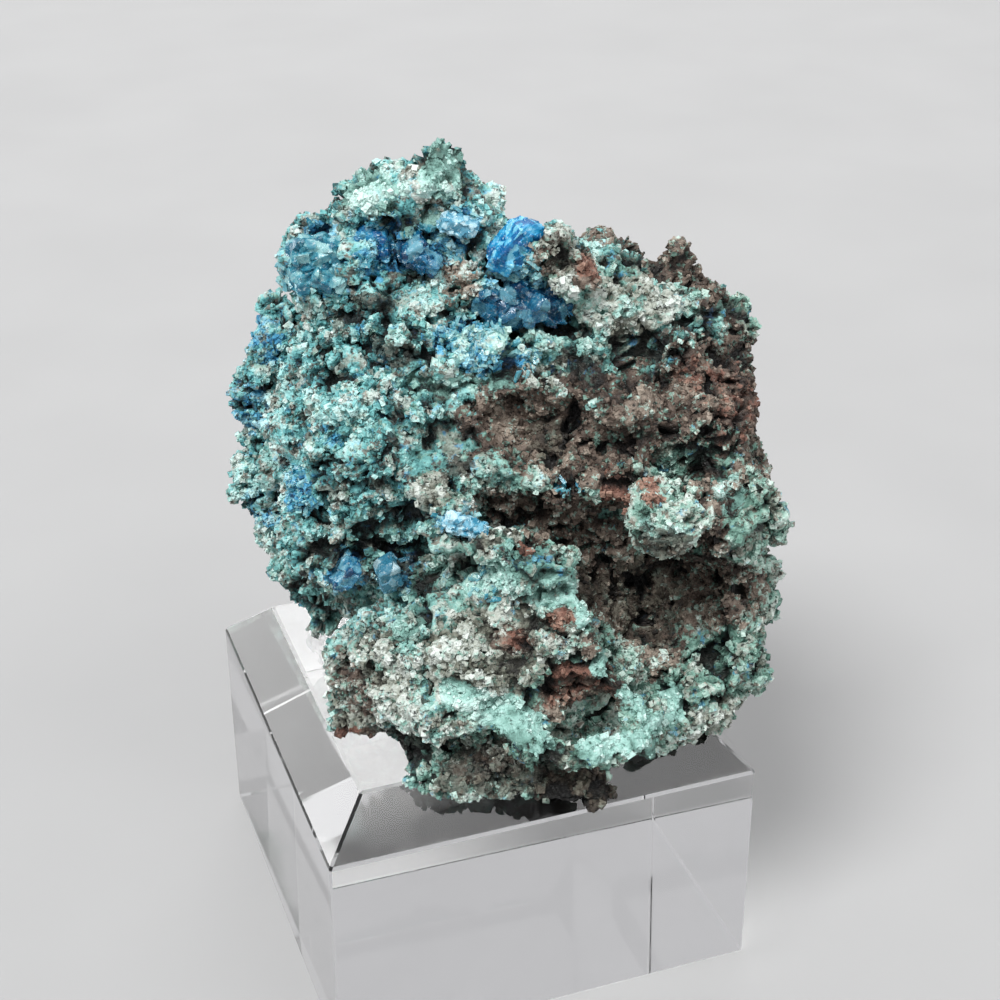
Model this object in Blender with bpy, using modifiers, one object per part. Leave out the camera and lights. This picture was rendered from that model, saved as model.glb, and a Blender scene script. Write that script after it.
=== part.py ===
"""A chalcanthite specimen that rests on a bevelled clear acrylic display block.

Metres, +Z up. The origin is the centre of the block's underside, and the block's sides run
along X and Y. The stone's forms are given in the stone's own frame, in millimetres: its origin
is the centre of the block's top, U runs to the right, V away from the viewer and W up. That
frame is turned about Z by STONE_TURN, the way the stone stands on its block.
"""

import math

import bmesh
import bpy
from mathutils import Matrix, Vector

MM = 0.001

# The display block, in millimetres.
BLOCK_SIDE = 50.0
BLOCK_HEIGHT = 32.0
BLOCK_BEVEL = 5.2
BLOCK_EDGE_ROUND = 0.25

# The stone on the block.
STONE_TURN = math.radians(-19.66)
SEAT_GAP = 0.3
CRYSTAL_GAP = 0.35
FUSE_VOXEL = 0.8
FINAL_VOXEL = 0.7
STONE_TRIANGLES = 8150
BALL_STEPS = 3
SOFTEN_STEPS = 5

# Each layer of the stone's roughness, coarse to fine: kind, feature size, detail and depth.
ROUGHNESS = (
    ("CLOUDS", 8.0, 1, 3.6),
    ("VORONOI", 5.5, 0, -3.4),
    ("VORONOI", 2.6, 0, -1.6),
    ("CLOUDS", 3.0, 2, 2.0),
)

# A crystal's slant and the chamfer of its ends, as shares of its half-widths.
CRYSTAL_SKEW = 0.18
CRYSTAL_CHAMFER = 0.35

# Each rounded mass that the stone is grown from: centre (U, V, W) and half-widths (U, V, W).
LUMPS = {
    "core_low": ((4, -5, 12), (19, 17, 11)),
    "core_middle": ((4, 4, 29), (22.5, 16, 18)),
    "core_high": ((1, 8, 40), (17, 10, 10)),
    "back_bulk": ((3, 12, 22), (22, 15, 20)),
    "peak": ((-3.7, 4, 58.4), (3.4, 4, 5)),
    "peak_right": ((-1, 4, 54), (3, 4, 4.2)),
    "peak_shoulder": ((-3.5, 5, 51.5), (7, 6, 6)),
    "left_shoulder": ((-9, 5, 55.6), (4.6, 5, 4.8)),
    "upper_left": ((-12, 6, 47.5), (7.5, 8, 6.3)),
    "left_ledge": ((-16.6, 3, 48.8), (3.3, 5, 4)),
    "upper_face": ((-6, 5, 43), (13, 11, 9.5)),
    "crest_nodule": ((8.6, 0, 51), (4, 4.5, 4.4)),
    "crest_middle": ((13.5, 4, 43), (8.5, 8.5, 7)),
    "crest_right": ((22.5, 2, 39.5), (6, 8, 6)),
    "right_shoulder": ((25.5, -3, 32), (5.5, 8, 9)),
    "right_edge": ((28.4, -9.5, 25), (4, 6.5, 7.5)),
    "right_nub": ((30.6, -11, 13.5), (2.3, 3, 2.6)),
    "right_wall": ((26.6, -4, 15), (6.5, 10, 11)),
    "right_rim": ((25.6, -12, 8), (6.6, 6, 5)),
    "right_foot": ((20.5, -13, 3), (7.5, 7, 4.5)),
    "brown_face": ((9, -6, 33), (13, 10, 9)),
    "face_middle": ((-7, 0, 31), (15, 14, 13)),
    "face_left": ((-16.5, 3, 31), (5.5, 8, 12)),
    "face_low": ((-12, -3, 20), (9, 10, 9.5)),
    "left_foot": ((-18, 2, 12), (4.5, 7, 6)),
    "front_body": ((1.5, -16, 12), (14, 11, 9)),
    "front_shoulder": ((6, -17, 19), (9, 7, 6)),
    "low_left": ((-9.6, -12.5, 8), (6.8, 8.5, 7)),
    "low_left_corner": ((-13, -15, 4.2), (3.8, 4.5, 4.2)),
    "underside": ((4, -18, 0.5), (12.5, 9.5, 5)),
    "front_nub": ((12.8, -26.8, 1), (3.8, 4, 3)),
    "back_lump": ((15.5, 14, 46.5), (3.5, 4, 3)),
    "back_ridge": ((20, 14, 40.5), (5.5, 6, 4)),
    "back_spike": ((23.6, 14, 44.2), (2, 2.5, 3.6)),
    "back_right": ((25.5, 14, 35.5), (6, 6.5, 6)),
    "back_turquoise": ((30, 14, 38), (3, 4, 2.6)),
    "back_edge_high": ((29, 10, 30), (3, 5.5, 6)),
    "back_edge_low": ((29.8, 5, 23), (3, 5.5, 7.5)),
    "right_bead": ((31.3, 0, 12), (2, 2.6, 1.8)),
    "nodule": ((20, -17, 29), (4.6, 4, 3.4)),
    "nodule_right": ((26.5, -14, 27), (3.5, 4, 3)),
    "hidden_back": ((8, 26, 24), (14, 8, 15)),
    "hidden_back_low": ((-6, 20, 11), (14, 10, 8)),
}

# Each long form of the stone, as points along it: centre (U, V, W) and radius.
RIDGES = {
    "front_ridge": (
        (-5.2, -14.6, 31.4, 1.6),
        (-2.2, -16.0, 28.9, 2.4),
        (1.7, -17.2, 26.8, 2.5),
        (6.4, -18.9, 26.0, 2.5),
        (9.2, -21.0, 23.6, 2.4),
        (10.8, -22.3, 19.8, 2.4),
        (13.7, -23.4, 16.4, 2.6),
        (17.5, -23.6, 11.9, 2.6),
        (20.0, -23.5, 6.8, 2.4),
    ),
    "pale_ledge": (
        (-3.3, -23.4, 12.2, 1.8),
        (0.2, -25.3, 11.3, 2.0),
        (6.6, -28.3, 8.5, 2.0),
        (10.0, -29.3, 7.6, 1.9),
        (13.5, -29.3, 7.8, 1.9),
        (17.0, -28.0, 7.4, 1.9),
        (20.0, -25.8, 6.0, 1.8),
    ),
    "left_lobe": (
        (-22.0, 12.0, 38.4, 2.4),
        (-23.8, 12.0, 32.5, 3.0),
        (-24.4, 12.0, 25.0, 3.7),
        (-24.2, 9.5, 18.0, 3.8),
        (-21.6, 6.0, 12.5, 3.2),
    ),
    "crest": (
        (5.0, 4.0, 50.0, 3.0),
        (11.0, 3.0, 48.5, 3.4),
        (17.0, 2.0, 45.0, 3.4),
        (23.0, 1.0, 41.0, 3.4),
        (25.5, -3.0, 35.5, 3.4),
    ),
}

# Each hollow that is cut into them, as the lumps are given.
HOLLOWS = {
    "brown_hollow": ((7, -13.5, 37.3), (7, 6.5, 3.4)),
    "brown_hollow_right": ((14.5, -13.5, 35), (4, 4, 2.4)),
    "brown_slope": ((9, -17.5, 31), (6.5, 3.5, 3)),
    "brown_pit": ((8, -13.5, 34), (2, 3, 1.6)),
    "right_cavity": ((20.5, -17, 16.5), (8, 11, 7)),
    "cavity_left": ((14.5, -16, 20), (4, 8, 5)),
    "cavity_low": ((24, -17, 11), (4.5, 6.5, 3.6)),
    "left_crevice": ((-10, -14.5, 21.8), (5.5, 4.5, 3)),
    "left_crevice_low": ((-13, -12.5, 16.5), (3, 3.5, 2)),
    "blue_hollow": ((7.5, -3.5, 46.8), (5.2, 5, 3.4)),
    "front_pocket": ((11, -28, 12.8), (4.4, 4.5, 3.2)),
    "under_ledge": ((8, -31, 4.6), (9, 4, 1.9)),
    "under_ledge_left": ((-2, -26.5, 4.5), (5, 3.5, 2)),
    "crest_valley": ((19, 8, 47), (7, 3, 3)),
    "upper_pit": ((-9.8, -6, 43.3), (2.4, 2.5, 1.3)),
    "upper_pit_low": ((-12, -8, 41.2), (2, 2.5, 1.2)),
    "slot": ((11.8, -8.5, 41.5), (2.6, 3, 1.1)),
    "ridge_pit": ((5, -21, 19.5), (2.2, 3, 1.6)),
    "low_left_pit": ((-6, -20, 8), (3, 3, 1.8)),
}

# Each long hollow, as the ridges are given.
VALLEYS = {
    "behind_ridge": (
        (-2.0, -15.5, 33.6, 1.7),
        (3.0, -16.0, 31.4, 2.2),
        (8.5, -18.0, 29.0, 2.6),
        (13.0, -19.5, 24.5, 3.0),
        (15.5, -20.0, 19.5, 3.2),
        (19.0, -20.0, 14.5, 3.2),
    ),
}


# Each bunch of crystals, as its crystals: centre, half-widths, then turns about U, V and W.
CRYSTALS = {
    "azure_crest_crystals": (
        ((4.9, -1.2, 53.2), (1.7, 1.8, 2.9), (0, 28, 20)),
        ((3.5, -1.4, 51.4), (1.3, 1.4, 1.3), (10, 20, -15)),
    ),
    "blue_hollow_crystals": (
        ((7.7, -1.8, 46.4), (2.4, 2.0, 1.9), (10, 8, 25)),
        ((4.6, -1.8, 45.4), (1.8, 1.6, 1.5), (0, -15, 10)),
        ((2.4, -1.8, 46.6), (1.6, 1.4, 1.9), (0, 25, -20)),
        ((5.2, -1.0, 47.8), (1.5, 1.4, 1.4), (15, 30, 5)),
    ),
    "teal_left_crystals": (
        ((-17.0, 0.2, 52.0), (1.9, 1.8, 1.5), (0, 10, 20)),
        ((-15.0, 0.0, 51.5), (1.6, 1.8, 1.5), (10, -20, -10)),
        ((-17.4, -0.2, 49.4), (1.8, 1.8, 1.5), (0, -12, 30)),
        ((-15.0, -0.8, 49.2), (1.7, 1.8, 1.4), (0, 25, 0)),
    ),
    "blue_shoulder_crystals": (
        ((-10.8, 1.0, 53.0), (1.5, 1.6, 1.3), (0, 20, 10)),
        ((-9.6, 0.8, 51.8), (1.2, 1.5, 1.1), (10, -15, -20)),
    ),
    "dark_blue_peak_crystals": (
        ((-6.0, -0.6, 52.3), (1.4, 1.6, 1.3), (0, -25, 15)),
        ((-4.5, -1.0, 51.2), (1.3, 1.4, 1.2), (10, 20, -10)),
    ),
    "pale_peak_crystal": (((-1.3, -0.4, 55.0), (1.9, 1.3, 1.0), (0, 15, 10)),),
    "pale_ridge_crystal": (((-0.6, -18.2, 28.9), (2.4, 1.3, 0.9), (0, 28, 8)),),
    "dark_blue_blade": (((-13.7, -13.0, 20.0), (0.8, 1.5, 1.8), (0, 25, 20)),),
    "pale_blue_blade": (((-9.0, -13.4, 20.2), (1.2, 1.6, 1.9), (0, -20, 15)),),
}


def clear_scene():
    for obj in list(bpy.data.objects):
        bpy.data.objects.remove(obj, do_unlink=True)


def new_collection(name, in_render):
    made = bpy.data.collections.new(name)
    made.hide_render = not in_render
    bpy.context.scene.collection.children.link(made)
    return made


def move_to(obj, collection):
    for old in list(obj.users_collection):
        old.objects.unlink(obj)
    collection.objects.link(obj)


def as_cutter(obj, collection):
    obj.display_type = "WIRE"
    obj.hide_render = True
    move_to(obj, collection)


def material(name, colour, roughness, transmission=0.0, ior=1.5):
    made = bpy.data.materials.new(name)
    made.use_nodes = True
    shader = made.node_tree.nodes["Principled BSDF"]
    shader.inputs["Base Color"].default_value = (*colour, 1.0)
    shader.inputs["Roughness"].default_value = roughness
    shader.inputs["Metallic"].default_value = 0.0
    shader.inputs["Transmission Weight"].default_value = transmission
    shader.inputs["IOR"].default_value = ior
    return made


def stone_to_world():
    """The matrix from the stone's frame, in millimetres, to world metres."""
    lift = Matrix.Translation((0, 0, BLOCK_HEIGHT * MM))
    return lift @ Matrix.Rotation(STONE_TURN, 4, "Z") @ Matrix.Scale(MM, 4)


def ellipsoid(name, centre, half_widths):
    bpy.ops.mesh.primitive_ico_sphere_add(subdivisions=3, radius=1.0)
    obj = bpy.context.object
    obj.name = name
    size = Matrix.Diagonal((*half_widths, 1.0))
    obj.data.transform(stone_to_world() @ Matrix.Translation(centre) @ size)
    return obj


def balls_along(name, points):
    """Overlapping balls along a line of points, each with its own radius."""
    balls = []
    for start, end in zip(points, points[1:]):
        for step in range(BALL_STEPS):
            share = step / BALL_STEPS
            u, v, w, radius = (a + (b - a) * share for a, b in zip(start, end))
            balls.append(ellipsoid(f"{name}_{len(balls)}", (u, v, w), (radius,) * 3))
    return balls


def joined(objects, name):
    bpy.ops.object.select_all(action="DESELECT")
    for obj in objects:
        obj.select_set(True)
    bpy.context.view_layer.objects.active = objects[0]
    bpy.ops.object.join()
    objects[0].name = name
    return objects[0]


def rounded_shapes(masses, lines, name):
    """All the rounded masses and lines of balls, overlapping in one mesh."""
    shapes = [ellipsoid(mass, *form) for mass, form in masses.items()]
    for line, points in lines.items():
        shapes += balls_along(line, points)
    return joined(shapes, name)


def fuse(obj, voxel):
    """One closed skin round all the overlapping shapes of a mesh."""
    modifier = obj.modifiers.new("fuse", "REMESH")
    modifier.mode = "VOXEL"
    modifier.voxel_size = voxel * MM


def soften(obj):
    modifier = obj.modifiers.new("soften", "SMOOTH")
    modifier.iterations = SOFTEN_STEPS


def roughen(obj, kind, scale, depth, strength):
    """Pushes the skin in and out by a noise of the given feature size, in millimetres."""
    texture = bpy.data.textures.new(f"{kind.lower()}_{scale}", kind)
    texture.noise_scale = scale * MM
    if kind == "CLOUDS":
        texture.noise_depth = depth
    modifier = obj.modifiers.new(f"roughen_{scale}", "DISPLACE")
    modifier.texture = texture
    modifier.texture_coords = "LOCAL"
    modifier.strength = strength * MM


def crystal(name, centre, half_widths, turns, grow):
    """A short skewed prism with chamfered edges, larger all round by grow."""
    bpy.ops.mesh.primitive_cube_add(size=2.0)
    obj = bpy.context.object
    obj.name = name
    form = Matrix.Shear("XY", 4, (CRYSTAL_SKEW, -CRYSTAL_SKEW))
    form = form @ Matrix.Diagonal((*(half + grow for half in half_widths), 1.0))
    for turn, axis in zip(turns, "XYZ"):
        form = Matrix.Rotation(math.radians(turn), 4, axis) @ form
    shape = bmesh.new()
    shape.from_mesh(obj.data)
    ends = [edge for edge in shape.edges if edge.verts[0].co.z == edge.verts[1].co.z]
    bmesh.ops.bevel(shape, geom=ends, offset=CRYSTAL_CHAMFER, segments=1, affect="EDGES")
    shape.transform(stone_to_world() @ Matrix.Translation(centre) @ form)
    bmesh.ops.recalc_face_normals(shape, faces=shape.faces)
    shape.to_mesh(obj.data)
    shape.free()
    return obj


def crystal_bunch(name, crystals, grow):
    """The crystals of a bunch, grown into one another as one solid."""
    pieces = [crystal(f"{name}_{i}", *form, grow) for i, form in enumerate(crystals)]
    bunch = pieces[0]
    bunch.name = name
    for piece in pieces[1:]:
        merge = bunch.modifiers.new("merge", "BOOLEAN")
        merge.operation = "UNION"
        merge.solver = "EXACT"
        merge.object = piece
    apply_modifiers(bunch)
    for piece in pieces[1:]:
        bpy.data.objects.remove(piece, do_unlink=True)
    return bunch


def cut(obj, cutter):
    modifier = obj.modifiers.new(f"cut_{cutter.name}", "BOOLEAN")
    modifier.operation = "DIFFERENCE"
    modifier.solver = "EXACT"
    modifier.object = cutter


def apply_modifiers(obj):
    graph = bpy.context.evaluated_depsgraph_get()
    mesh = bpy.data.meshes.new_from_object(obj.evaluated_get(graph))
    obj.modifiers.clear()
    obj.data = mesh


def keep_largest_shell(obj):
    """Deletes the crumbs that noise and cutting leave loose."""
    shape = bmesh.new()
    shape.from_mesh(obj.data)
    unseen = set(shape.verts)
    shells = []
    while unseen:
        shell = set()
        edge_of_search = [unseen.pop()]
        while edge_of_search:
            vertex = edge_of_search.pop()
            shell.add(vertex)
            for edge in vertex.link_edges:
                other = edge.other_vert(vertex)
                if other in unseen:
                    unseen.remove(other)
                    edge_of_search.append(other)
        shells.append(shell)
    largest = max(shells, key=len)
    crumbs = [vertex for shell in shells if shell is not largest for vertex in shell]
    bmesh.ops.delete(shape, geom=crumbs, context="VERTS")
    shape.to_mesh(obj.data)
    shape.free()


def thin_out(obj, triangles):
    triangulate = obj.modifiers.new("triangles", "TRIANGULATE")
    triangulate.min_vertices = 4
    apply_modifiers(obj)
    modifier = obj.modifiers.new("thin_out", "DECIMATE")
    modifier.ratio = triangles / len(obj.data.polygons)
    apply_modifiers(obj)


def build_block(collection, clear):
    """A square block whose top edges carry a wide 45 degree bevel."""
    bpy.ops.mesh.primitive_cube_add(size=1.0)
    block = bpy.context.object
    block.name = "acrylic_block"
    shape = bmesh.new()
    shape.from_mesh(block.data)
    size = Matrix.Diagonal((BLOCK_SIDE * MM, BLOCK_SIDE * MM, BLOCK_HEIGHT * MM, 1.0))
    shape.transform(Matrix.Translation((0, 0, BLOCK_HEIGHT * MM / 2)) @ size)
    top = [
        edge for edge in shape.edges if all(v.co.z > BLOCK_HEIGHT * MM / 2 for v in edge.verts)
    ]
    bmesh.ops.bevel(shape, geom=top, offset=BLOCK_BEVEL * MM, segments=1, affect="EDGES")
    shape.to_mesh(block.data)
    shape.free()
    rounded = block.modifiers.new("edge_round", "BEVEL")
    rounded.width = BLOCK_EDGE_ROUND * MM
    rounded.segments = 1
    rounded.limit_method = "ANGLE"
    block.data.materials.append(clear)
    move_to(block, collection)
    return block


def build_seat_cutter(collection):
    """A slab that takes off what would reach below the block's top, less the seat gap."""
    bpy.ops.mesh.primitive_cube_add(size=1.0)
    slab = bpy.context.object
    slab.name = "seat_cutter"
    slab.scale = (3 * BLOCK_SIDE * MM, 3 * BLOCK_SIDE * MM, BLOCK_HEIGHT * MM)
    slab.location = (0, 0, (BLOCK_HEIGHT / 2 + SEAT_GAP) * MM)
    as_cutter(slab, collection)
    return slab


def build_stone(collection, cutters, rock):
    stone = rounded_shapes(LUMPS, RIDGES, "matrix_rock")
    hollows = rounded_shapes(HOLLOWS, VALLEYS, "hollows")
    for obj in (stone, hollows):
        fuse(obj, FUSE_VOXEL)
        apply_modifiers(obj)
    cut(stone, hollows)
    apply_modifiers(stone)
    fuse(stone, FUSE_VOXEL)
    soften(stone)
    for layer in ROUGHNESS:
        roughen(stone, *layer)
    fuse(stone, FINAL_VOXEL)
    apply_modifiers(stone)
    keep_largest_shell(stone)
    thin_out(stone, STONE_TRIANGLES)
    cut(stone, build_seat_cutter(cutters))
    for name, crystals in CRYSTALS.items():
        socket = crystal_bunch(f"{name}_socket", crystals, CRYSTAL_GAP)
        cut(stone, socket)
        as_cutter(socket, cutters)
    apply_modifiers(stone)
    keep_largest_shell(stone)
    as_cutter(hollows, cutters)
    stone.data.materials.clear()
    stone.data.materials.append(rock)
    move_to(stone, collection)
    return stone


def build_crystals(collection, blue):
    for name, crystals in CRYSTALS.items():
        bunch = crystal_bunch(name, crystals, 0.0)
        bunch.data.materials.append(blue)
        move_to(bunch, collection)


def main():
    clear_scene()
    parts = new_collection("chalcanthite_specimen", in_render=True)
    cutters = new_collection("cutters", in_render=False)
    clear = material("clear_acrylic", (0.95, 0.95, 0.96), 0.03, transmission=1.0, ior=1.49)
    rock = material("matrix_rock", (0.20, 0.30, 0.28), 0.85)
    blue = material("blue_crystal", (0.02, 0.22, 0.45), 0.15, transmission=0.5, ior=1.53)
    build_block(parts, clear)
    build_stone(parts, cutters, rock)
    build_crystals(parts, blue)


main()
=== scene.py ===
"""Looks of the chalcanthite specimen.

The stone gets a fine, granular skin grown from its CAD solid, with grains and blue crystal
splinters on it. Its crystals are clear blue, and the block is clear acrylic. Values named _MM are
in millimetres. Places on the stone are in its own frame, as in the part: U right, V away and W up
from the centre of the block's top, turned by STONE_TURN.
"""

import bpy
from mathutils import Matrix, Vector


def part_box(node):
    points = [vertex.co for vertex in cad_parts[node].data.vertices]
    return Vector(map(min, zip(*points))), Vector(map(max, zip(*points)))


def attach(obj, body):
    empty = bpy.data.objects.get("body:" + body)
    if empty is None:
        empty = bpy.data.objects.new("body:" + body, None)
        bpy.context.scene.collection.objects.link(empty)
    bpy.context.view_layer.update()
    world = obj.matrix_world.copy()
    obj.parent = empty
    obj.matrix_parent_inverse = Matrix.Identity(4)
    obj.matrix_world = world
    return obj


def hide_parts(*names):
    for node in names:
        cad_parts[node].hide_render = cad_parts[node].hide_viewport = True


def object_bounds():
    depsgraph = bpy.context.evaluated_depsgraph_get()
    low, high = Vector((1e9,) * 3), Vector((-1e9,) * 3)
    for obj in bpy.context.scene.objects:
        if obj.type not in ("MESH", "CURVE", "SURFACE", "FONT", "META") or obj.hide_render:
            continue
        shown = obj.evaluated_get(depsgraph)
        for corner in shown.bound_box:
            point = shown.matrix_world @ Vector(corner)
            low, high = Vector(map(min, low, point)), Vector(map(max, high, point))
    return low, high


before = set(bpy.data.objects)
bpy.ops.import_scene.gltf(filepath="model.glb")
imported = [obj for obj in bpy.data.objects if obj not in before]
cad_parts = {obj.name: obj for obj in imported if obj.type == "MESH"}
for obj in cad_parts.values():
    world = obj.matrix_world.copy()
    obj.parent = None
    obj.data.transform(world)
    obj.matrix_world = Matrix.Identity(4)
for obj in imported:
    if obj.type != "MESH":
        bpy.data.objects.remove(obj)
CAD_BOX = [[float(c) for c in corner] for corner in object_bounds()]

import math

import bpy
import numpy as np
from mathutils import Matrix, Vector
from mathutils.bvhtree import BVHTree

MM = 0.001
STONE_TURN = math.radians(-19.66)
BLOCK_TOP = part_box("acrylic_block")[1][2]
CRYSTAL_NODES = sorted(set(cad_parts) - {"acrylic_block", "matrix_rock"})

# The camera, fitted to the block's edges in the photograph. Its place is in metres.
CAMERA_PLACE = (-0.06141, -0.18094, 0.16081)
CAMERA_YAW = math.radians(-19.659)
CAMERA_PITCH = math.radians(29.267)
CAMERA_ROLL = math.radians(-0.184)
CAMERA_FOCAL_MM = 69.55
CAMERA_SENSOR_MM = 36.0
CAMERA_NEAREST = 0.01

# Each light: the side it comes from, its height and spread in degrees, and its strength. The
# block's front bevel mirrors the front light, and its left bevels mirror the rim light.
LIGHTS = {
    "key": (-145, 58, 24, 3.6),
    "front": (-74, 53, 30, 0.55),
    "fill": (-45, 32, 60, 0.6),
    "back": (75, 40, 50, 0.8),
    "rim": (126, 11, 34, 1.2),
}
WORLD_COLOUR = (0.80, 0.80, 0.82)
WORLD_STRENGTH = 0.66

# The floor's side in metres. It lies a little below the block, so that the block's underside
# mirrors what is inside the block.
FLOOR_SIDE = 6.0
FLOOR_GAP_MM = 0.05

# Nothing that grows on the stone comes nearer than this to the sides of the part's own box.
BOX_MARGIN_MM = 0.02

# How finely the skin and the crystals are remade from their solids.
SKIN_VOXEL_MM = 0.27
SKIN_SOFTEN_STEPS = 4
SKIN_TRIANGLES = 196000
CRYSTAL_VOXEL_MM = 0.13

# The size of each noise in the skin's relief, in millimetres, and its seed.
RELIEF = {
    "bends": (2.4, 200),
    "large": (2.3, 40),
    "small": (1.0, 50),
    "crumbs": (0.8, 60),
    "lumps": (3.4, 80),
    "shelves": (2.4, 85),
    "creases": (3.0, 70),
    "creased_areas": (5.0, 75),
    "seams": (3.4, 71),
    "seamed_areas": (6.0, 78),
    "pits": (2.1, 77),
    "patches": (4.5, 88),
}
BEND_MM = 0.9
# The rock's beds lean to the right, wave with the lumps, and reach further along U and V than up.
BED_TILT = math.radians(18)
BED_WAVE_MM = 0.8
BED_REACH_U = 3.2
BED_REACH_V = 2.4
# Where the noises turn into hollows: not at all up to the first value, and fully from the second.
CREASE_EDGE = (-0.14, -0.04)
CREASED_AREAS_EDGE = (-0.3, 0.1)
SEAM_EDGE = (-0.12, -0.03)
SEAMED_AREAS_EDGE = (-0.2, 0.1)
PIT_EDGE = (0.23, 0.43)
# How deep creases are, as a share of the depth of seams and pits.
CREASE_DEPTH = 0.8

# How far each form stands out of the skin, in millimetres, and how much it adds to the painted shade.
CRUST_GRANULES_MM = {"large": 0.34, "small": 0.24, "crumbs": 0.24}
CRUST_RELIEF_MM = {"shelves": 1.1, "hollows": -1.7}
EARTH_RELIEF_MM = {"lumps": 0.65, "crumbs": 0.42, "small": 0.20, "shelves": 0.6, "hollows": -1.9}
# Painted shade on the granules: lighter on their tops and darker in the gaps between them.
GRAIN_TOP_SHADE = {"small": 0.16, "large": 0.1, "crumbs": 0.16}
# Painted shade from the relief: raised shelves lighter and hollows darker. The patches are a random tone.
RELIEF_SHADE_AND_TONE = {"shelves": 0.35, "patches": 0.3, "hollows": -0.9}
MIDDLE_SHADE = 0.58
SKIN_INSET_MM = 0.1
# Chalky and cream places are smoother, by these shares.
PALE_SMOOTHNESS = 0.7
PALE_FILLS_HOLLOWS = 0.6
CREAM_FILLS_HOLLOWS = 0.4

# Hollows never reach deeper than this share of the stone's thickness, which is felt for from a
# little under the surface down to THICK_MM.
DEEPEST_SHARE = 0.3
THICKNESS_START_MM = 0.3
THICK_MM = 8.0
# The crust rises by this much where it meets a crystal, and less out to this distance from it.
COLLAR_MM = 0.34
COLLAR_REACH_MM = 0.9

# Two shapes of grain, before each grain is given its own size: a blunt block, and a prism whose
# ends are cut at a slope.
CHUNK_SIDE = 1.5
PRISM_SIDES = 4
PRISM_RADIUS = 0.62
PRISM_LENGTH = 2.6
PRISM_SLANT = 0.45

# A grain's width and corners vary by these shares of its size, and its tint by this much.
GRAIN_STRETCH = 0.3
GRAIN_JITTER = 0.3
GRAIN_TINT_SPREAD = 0.17
GRAIN_DARKEST = 0.1
# The higher this is, the more of the grains are near their smallest size.
SMALL_GRAINS_POWER = 1.7
# Grains grow where the skin's painted shade value is over the first of these, and fully over the second.
RAISED_SHADES = (0.22, 0.5)
# A grain's middle is half its size above the skin, less this share of its size.
GRAIN_SINK = 0.25
SHARD_SINK = 0.2
# A triangle without area counts as this, in square metres, so that it can be divided by.
SMALLEST_AREA = 1e-15


# Places on the stone

def to_stone(points):
    """World metres to the stone's frame in millimetres."""
    c, s = math.cos(STONE_TURN), math.sin(STONE_TURN)
    x, y = points[:, 0], points[:, 1]
    return np.stack([c * x + s * y, -s * x + c * y, points[:, 2] - BLOCK_TOP], axis=1) / MM


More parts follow.
